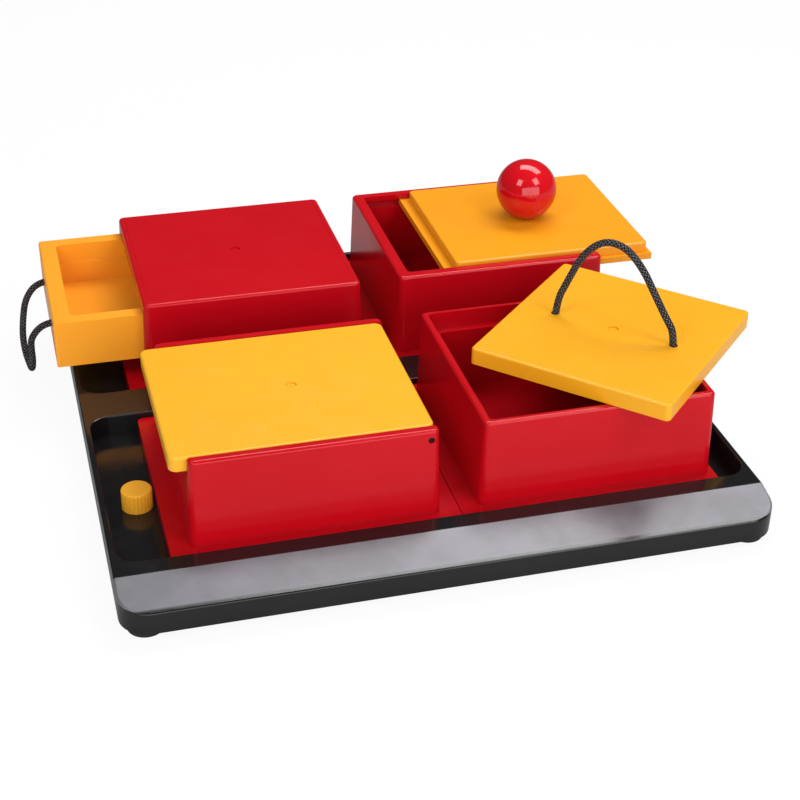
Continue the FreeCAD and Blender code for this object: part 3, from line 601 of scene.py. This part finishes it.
@dataclass
class BraidRope:
    """A braided cord that follows a given route and ends at its two knots."""

    name: str
    body: str
    knots: str
    route: list[Point]
    radius: float = 1.8 * MM
    sides: int = 20
    ring_step: float = 0.9 * MM
    curve_steps: int = 24
    least_run: float = 1e-9

    def curve(self) -> bpy.types.Object:
        """Return the route as a smooth spline."""
        data = bpy.data.curves.new(self.name + "_route", "CURVE")
        data.dimensions = "3D"
        data.resolution_u = self.curve_steps
        spline = data.splines.new("NURBS")
        spline.points.add(len(self.route) - 1)
        for point, place in zip(spline.points, self.route):
            point.co = (*(value * MM for value in place), 1.0)
        spline.order_u = 3
        spline.use_endpoint_u = True
        return add_object(self.name + "_route", data)

    def centreline(self) -> list[Vector]:
        """Return evenly spaced points read from the route's spline."""
        curve = self.curve()
        bpy.context.view_layer.update()
        line = bpy.data.meshes.new_from_object(curve)
        places = [vertex.co.copy() for vertex in line.vertices]
        bpy.data.objects.remove(curve)
        lengths = [0.0]
        for before, after in zip(places, places[1:]):
            lengths.append(lengths[-1] + (after - before).length)
        count = max(2, round(lengths[-1] / self.ring_step))
        even: list[Vector] = []
        run = 0
        for step in range(count + 1):
            reach = lengths[-1] * step / count
            while run < len(lengths) - 2 and lengths[run + 1] < reach:
                run += 1
            share = (reach - lengths[run]) / max(lengths[run + 1] - lengths[run], self.least_run)
            even.append(places[run].lerp(places[run + 1], share))
        return even

    def build(self, dresser: Dresser) -> bpy.types.Object:
        """Args:
            dresser: Gives the cord's finish.

        Returns:
            The cord.
        """
        line = self.centreline()
        piece = mesh_object(self.name, self._tube(line))
        piece.data.shade_smooth()
        piece.data.materials.append(dresser.material(Finish.CORD))
        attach(piece, self.body)
        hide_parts(self.name.replace("_braid", ""))
        length = sum((after - before).length for before, after in zip(line, line[1:]))
        2 * self.radius
        log.info("%s is %.0f mm long", self.name, length / MM)
        return piece

    def _tube(self, line: list[Vector]) -> bmesh.types.BMesh:
        """Grow the cord ring by ring.

        Args:
            line: The points of its centreline.

        Returns:
            The closed tube with its UV map.
        """
        mesh = bmesh.new()
        lay = mesh.loops.layers.uv.new("lay")
        along = (line[1] - line[0]).normalized()
        side = along.orthogonal().normalized()
        frame = axes_frame(side, along.cross(side), along, line[0])
        bmesh.ops.create_circle(mesh, segments=self.sides, radius=self.radius, cap_ends=False)
        bmesh.ops.transform(mesh, matrix=frame, verts=mesh.verts)
        rings = [list(mesh.verts)]
        edges = list(mesh.edges)
        for before, here, after in zip(line, line[1:], line[2:] + line[-1:]):
            along = (after - before).normalized()
            side = (side - along * side.dot(along)).normalized()
            turned = axes_frame(side, along.cross(side), along, here)
            grown = bmesh.ops.extrude_edge_only(mesh, edges=edges)["geom"]
            ring = [item for item in grown if isinstance(item, bmesh.types.BMVert)]
            edges = [item for item in grown if isinstance(item, bmesh.types.BMEdge)
                     and all(end in ring for end in item.verts)]
            bmesh.ops.transform(mesh, matrix=turned @ frame.inverted(), verts=ring)
            rings.append(ring)
            frame = turned
        self._lay_uv(mesh, lay, rings)
        ends = [edge for edge in mesh.edges if edge.is_boundary]
        bmesh.ops.holes_fill(mesh, edges=ends, sides=self.sides)
        bmesh.ops.recalc_face_normals(mesh, faces=mesh.faces)
        return mesh

    def _lay_uv(self, mesh: bmesh.types.BMesh, lay: Any, rings: list[list[Any]]) -> None:
        """Write the UV map: U once round the cord, V along it in metres.

        Args:
            mesh: The cord's mesh.
            lay: The UV layer.
            rings: The vertices of each ring, in the same order round.
        """
        where = {vertex: (number, index) for index, ring in enumerate(rings)
                 for number, vertex in enumerate(ring)}
        half = self.sides / 2
        for face in mesh.faces:
            numbers = [where[loop.vert][0] for loop in face.loops]
            wraps = max(numbers) - min(numbers) > half
            for loop, number in zip(face.loops, numbers):
                shown = number + self.sides if wraps and number < half else number
                loop[lay].uv = (shown / self.sides, where[loop.vert][1] * self.ring_step)


@dataclass
class Tray:
    """The black tray, its rubber feet and the fixings under it."""

    shell: str = "base_tray"
    feet: tuple[str, ...] = (
        "foot_front_left", "foot_front_right", "foot_back_left", "foot_back_right")
    fixings: tuple[str, ...] = (
        "drawer_box_screws", "slide_box_screws", "flap_box_screws", "lift_box_screws", "lever_axle")

    def build(self, dresser: Dresser) -> None:
        """Dress the tray.

        Args:
            dresser: Gives the finishes.
        """
        dresser.dress(Finish.BLACK, self.shell)
        dresser.dress(Finish.RUBBER, *self.feet)
        dresser.dress(Finish.STEEL, *self.fixings)


@dataclass
class TreatBoxes:
    """The four red boxes."""

    names: tuple[str, ...] = ("drawer_box", "slide_box", "flap_box", "lift_box")

    def build(self, dresser: Dresser) -> None:
        """Dress the boxes.

        Args:
            dresser: Gives the finishes.
        """
        dresser.dress(Finish.RED, *self.names)


@dataclass
class Drawer:
    """The drawer and the loop that pulls it.

    The loop's route is in millimetres, counted from the middle between its two holes.
    """

    tray: str = "drawer_tray"
    knots: str = "drawer_rope_knots"
    hole_x: float = -169.9
    hole_z: float = 42.1
    row_y: float = 90.0
    loop: tuple[Point, ...] = (
        (3.0, 24.0, 0.0), (-4.0, 24.0, -0.3), (-11.0, 20.0, -7.0), (-13.6, 12.5, -14.3),
        (-15.2, 2.5, -20.8), (-14.8, -7.0, -25.8), (-13.6, -13.2, -28.9), (-12.8, -17.6, -30.2),
        (-12.2, -21.2, -27.6), (-11.6, -22.0, -22.0), (-11.8, -22.2, -16.0), (-11.2, -22.9, -8.2),
        (-4.0, -24.0, -0.2), (3.0, -24.0, 0.0))

    def build(self, dresser: Dresser) -> None:
        """Dress the drawer and make its loop.

        Args:
            dresser: Gives the finishes.
        """
        dresser.dress(Finish.DRAWER, self.tray)
        dresser.dress(Finish.CORD, self.knots)
        route = [(self.hole_x + x, self.row_y + y, self.hole_z + z) for x, y, z in self.loop]
        BraidRope("drawer_rope_braid", "drawer", self.knots, route).build(dresser)


@dataclass
class Slide:
    """The sliding lid with its ball knob."""

    lid: str = "slide_lid"
    knob: str = "ball_knob"
    screw: str = "ball_knob_screw"

    def build(self, dresser: Dresser) -> None:
        """Dress the sliding lid and its knob.

        Args:
            dresser: Gives the finishes.
        """
        dresser.dress(Finish.AMBER, self.lid)
        dresser.dress(Finish.BALL, self.knob)
        dresser.dress(Finish.STEEL, self.screw)


@dataclass
class Flap:
    """The flap, its pins and the button mechanism that lifts it."""

    lid: str = "flap_lid"
    button: str = "push_button"
    pins: tuple[str, ...] = ("flap_pin_front", "flap_pin_back")
    mechanism: tuple[str, ...] = ("rocker_lever", "push_rod")

    def build(self, dresser: Dresser) -> None:
        """Dress the flap and the mechanism.

        Args:
            dresser: Gives the finishes.
        """
        dresser.dress(Finish.YELLOW, self.lid)
        dresser.dress(Finish.BUTTON, self.button)
        dresser.dress(Finish.PIN, *self.pins)
        dresser.dress(Finish.RUBBER, *self.mechanism)


@dataclass
class LiftLid:
    """The lift-off lid and its arched cord.

    The arch's route is in millimetres, counted from the lid's middle before the lid is turned.
    """

    lid: str = "lift_lid"
    knots: str = "lift_rope_knots"
    centre: Point = (96.4, -58.0, 70.6)
    turn: float = 45.0
    arch: tuple[Point, ...] = (
        (0.0, 31.7, -5.5), (0.2, 31.4, 7.0), (0.6, 26.8, 18.5), (1.2, 20.6, 34.0),
        (1.6, 10.8, 44.8), (1.8, -1.0, 45.0), (1.4, -11.2, 36.2), (0.9, -19.0, 24.2),
        (0.4, -26.4, 13.0), (0.1, -31.4, 6.4), (0.0, -31.7, -5.5))

    def build(self, dresser: Dresser) -> None:
        """Dress the lid and make its arch.

        Args:
            dresser: Gives the finishes.
        """
        dresser.dress(Finish.LIFT, self.lid)
        dresser.dress(Finish.CORD, self.knots)
        cosine = math.cos(math.radians(self.turn))
        sine = math.sin(math.radians(self.turn))
        middle_x, middle_y, middle_z = self.centre
        route = [(middle_x + x * cosine - y * sine, middle_y + x * sine + y * cosine, middle_z + z)
                 for x, y, z in self.arch]
        BraidRope("lift_rope_braid", "lifter", self.knots, route).build(dresser)


@dataclass
class Floor:
    """A white floor, a hair below the feet, that keeps the feeder's shadow."""

    half_side: float = 6.0
    drop: float = 0.2 * MM
    colour: Colour = (0.82, 0.82, 0.82)
    roughness: float = 0.9
    seen_white: float = 0.93
    mirrored_dim: float = 0.7
    dim_strength: float = 0.15

    def build(self) -> None:
        """Lay the floor."""
        mesh = bmesh.new()
        under = Matrix.Translation((0.0, 0.0, -self.drop))
        bmesh.ops.create_grid(mesh, x_segments=1, y_segments=1, size=self.half_side, matrix=under)
        piece = mesh_object("floor", mesh)
        piece.data.materials.append(self._paint())

    def _paint(self) -> bpy.types.Material:
        """Return the floor's material: near white to the eye, and dim in a gloss."""
        graph = Surface("white floor")
        graph.set(Base_Color=(*self.colour, 1.0), Roughness=self.roughness)
        plain = Term(graph, graph.shader.outputs[0])
        white = graph.add("ShaderNodeEmission", None, {"Color": WHITE, "Strength": 1.0})
        dim = graph.add("ShaderNodeEmission", None, {"Color": WHITE, "Strength": self.dim_strength})
        seen = graph.add("ShaderNodeLightPath", out="Is Camera Ray") * self.seen_white
        mirrored = graph.add("ShaderNodeLightPath", out="Is Glossy Ray") * self.mirrored_dim
        shaded = graph.add("ShaderNodeMixShader", None, {0: mirrored, 1: plain, 2: dim})
        whole = graph.add("ShaderNodeMixShader", None, {0: seen, 1: shaded, 2: white})
        graph.feed(graph.nodes["Material Output"].inputs["Surface"], whole)
        return graph.material


@dataclass(frozen=True)
class Softbox:
    """One soft lamp: its place, aim and size in metres, and its power in watts."""

    name: str
    place: Point
    aim: Point
    width: float
    height: float
    power: float

    def hang(self) -> None:
        """Hang the lamp and turn it to its aim."""
        data = bpy.data.lights.new(self.name, "AREA")
        data.shape = "RECTANGLE"
        data.size = self.width
        data.size_y = self.height
        data.energy = self.power
        lamp = add_object(self.name, data)
        lamp.location = self.place
        ray = Vector(self.aim) - Vector(self.place)
        lamp.rotation_euler = ray.to_track_quat("-Z", "Y").to_euler()


@dataclass
class Viewpoint:
    """The camera of the product shot, in millimetres and degrees.

    The eye is counted from the middle of the tray, which stands at tray_x.
    """

    tray_x: float = -6.9
    eye: Point = (-186.6, -701.6, 455.9)
    heading: float = 15.71
    dip: float = 31.57
    roll: float = 1.09
    focal: float = 72.5
    sensor: float = 36.0
    far: float = 20.0

    def build(self) -> None:
        """Set up the camera and look through it."""
        heading, dip, roll = (math.radians(one) for one in (self.heading, self.dip, self.roll))
        flat = math.cos(dip)
        ahead = Vector((math.sin(heading) * flat, math.cos(heading) * flat, -math.sin(dip)))
        level = Vector((math.cos(heading), -math.sin(heading), 0.0))
        upright = level.cross(ahead)
        right = level * math.cos(roll) + upright * math.sin(roll)
        data = bpy.data.cameras.new("camera")
        data.lens = self.focal
        data.sensor_width = self.sensor
        data.clip_end = self.far
        camera = add_object("camera", data)
        place = Vector((self.eye[0] + self.tray_x, self.eye[1], self.eye[2])) * MM
        camera.matrix_world = axes_frame(right, right.cross(ahead), -ahead, place)
        bpy.context.scene.camera = camera


@dataclass
class Studio:
    """The floor, the soft lamps, the pale world and the camera."""

    fill: float = 0.3
    gloss_fill: float = 0.06
    lamps: tuple[Softbox, ...] = (
        Softbox("back softbox", (0.36, 0.355, 1.0), (0.0, -0.14, 0.0), 1.05, 0.4, 9.5),
        Softbox("left softbox", (-0.85, -0.56, 1.1), (0.0, 0.0, 0.03), 0.5, 0.6, 5.2),
        Softbox("right softbox", (0.62, -0.8, 1.12), (0.0, 0.0, 0.03), 0.5, 0.6, 5.6),
        Softbox("front fill", (0.0, -1.7, 0.5), (0.0, 0.0, 0.04), 2.4, 1.0, 21.0))

    def build(self) -> None:
        """Make floor, world, lamps and camera."""
        bpy.context.scene.view_settings.view_transform = "Standard"
        Floor().build()
        self._world()
        for lamp in self.lamps:
            lamp.hang()
        Viewpoint().build()
        log.info("studio is set")

    def _world(self) -> None:
        """Make the world white behind the object and pale as a fill light."""
        world = bpy.data.worlds.new("studio")
        bpy.context.scene.world = world
        graph = Graph(world)
        mirrored = graph.add("ShaderNodeLightPath", out="Is Glossy Ray")
        seen = graph.add("ShaderNodeLightPath", out="Is Camera Ray")
        fill = graph.rescale(mirrored, WHOLE, (self.fill, self.gloss_fill))
        background = graph.nodes["Background"]
        graph.feed(background.inputs["Color"], WHITE)
        graph.feed(background.inputs["Strength"], graph.rescale(seen, WHOLE, (fill, 1.0)))


def main() -> None:
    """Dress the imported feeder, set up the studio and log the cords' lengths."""
    logging.basicConfig(level=logging.INFO, format="%(name)s: %(message)s")
    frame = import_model()
    dresser = Dresser(frame["nodes"])
    for assembly in (Tray(), TreatBoxes(), Drawer(), Slide(), Flap(), LiftLid()):
        assembly.build(dresser)
        log.info("%s is dressed", type(assembly).__name__)
    Studio().build()


if __name__ == "__main__":
    main()
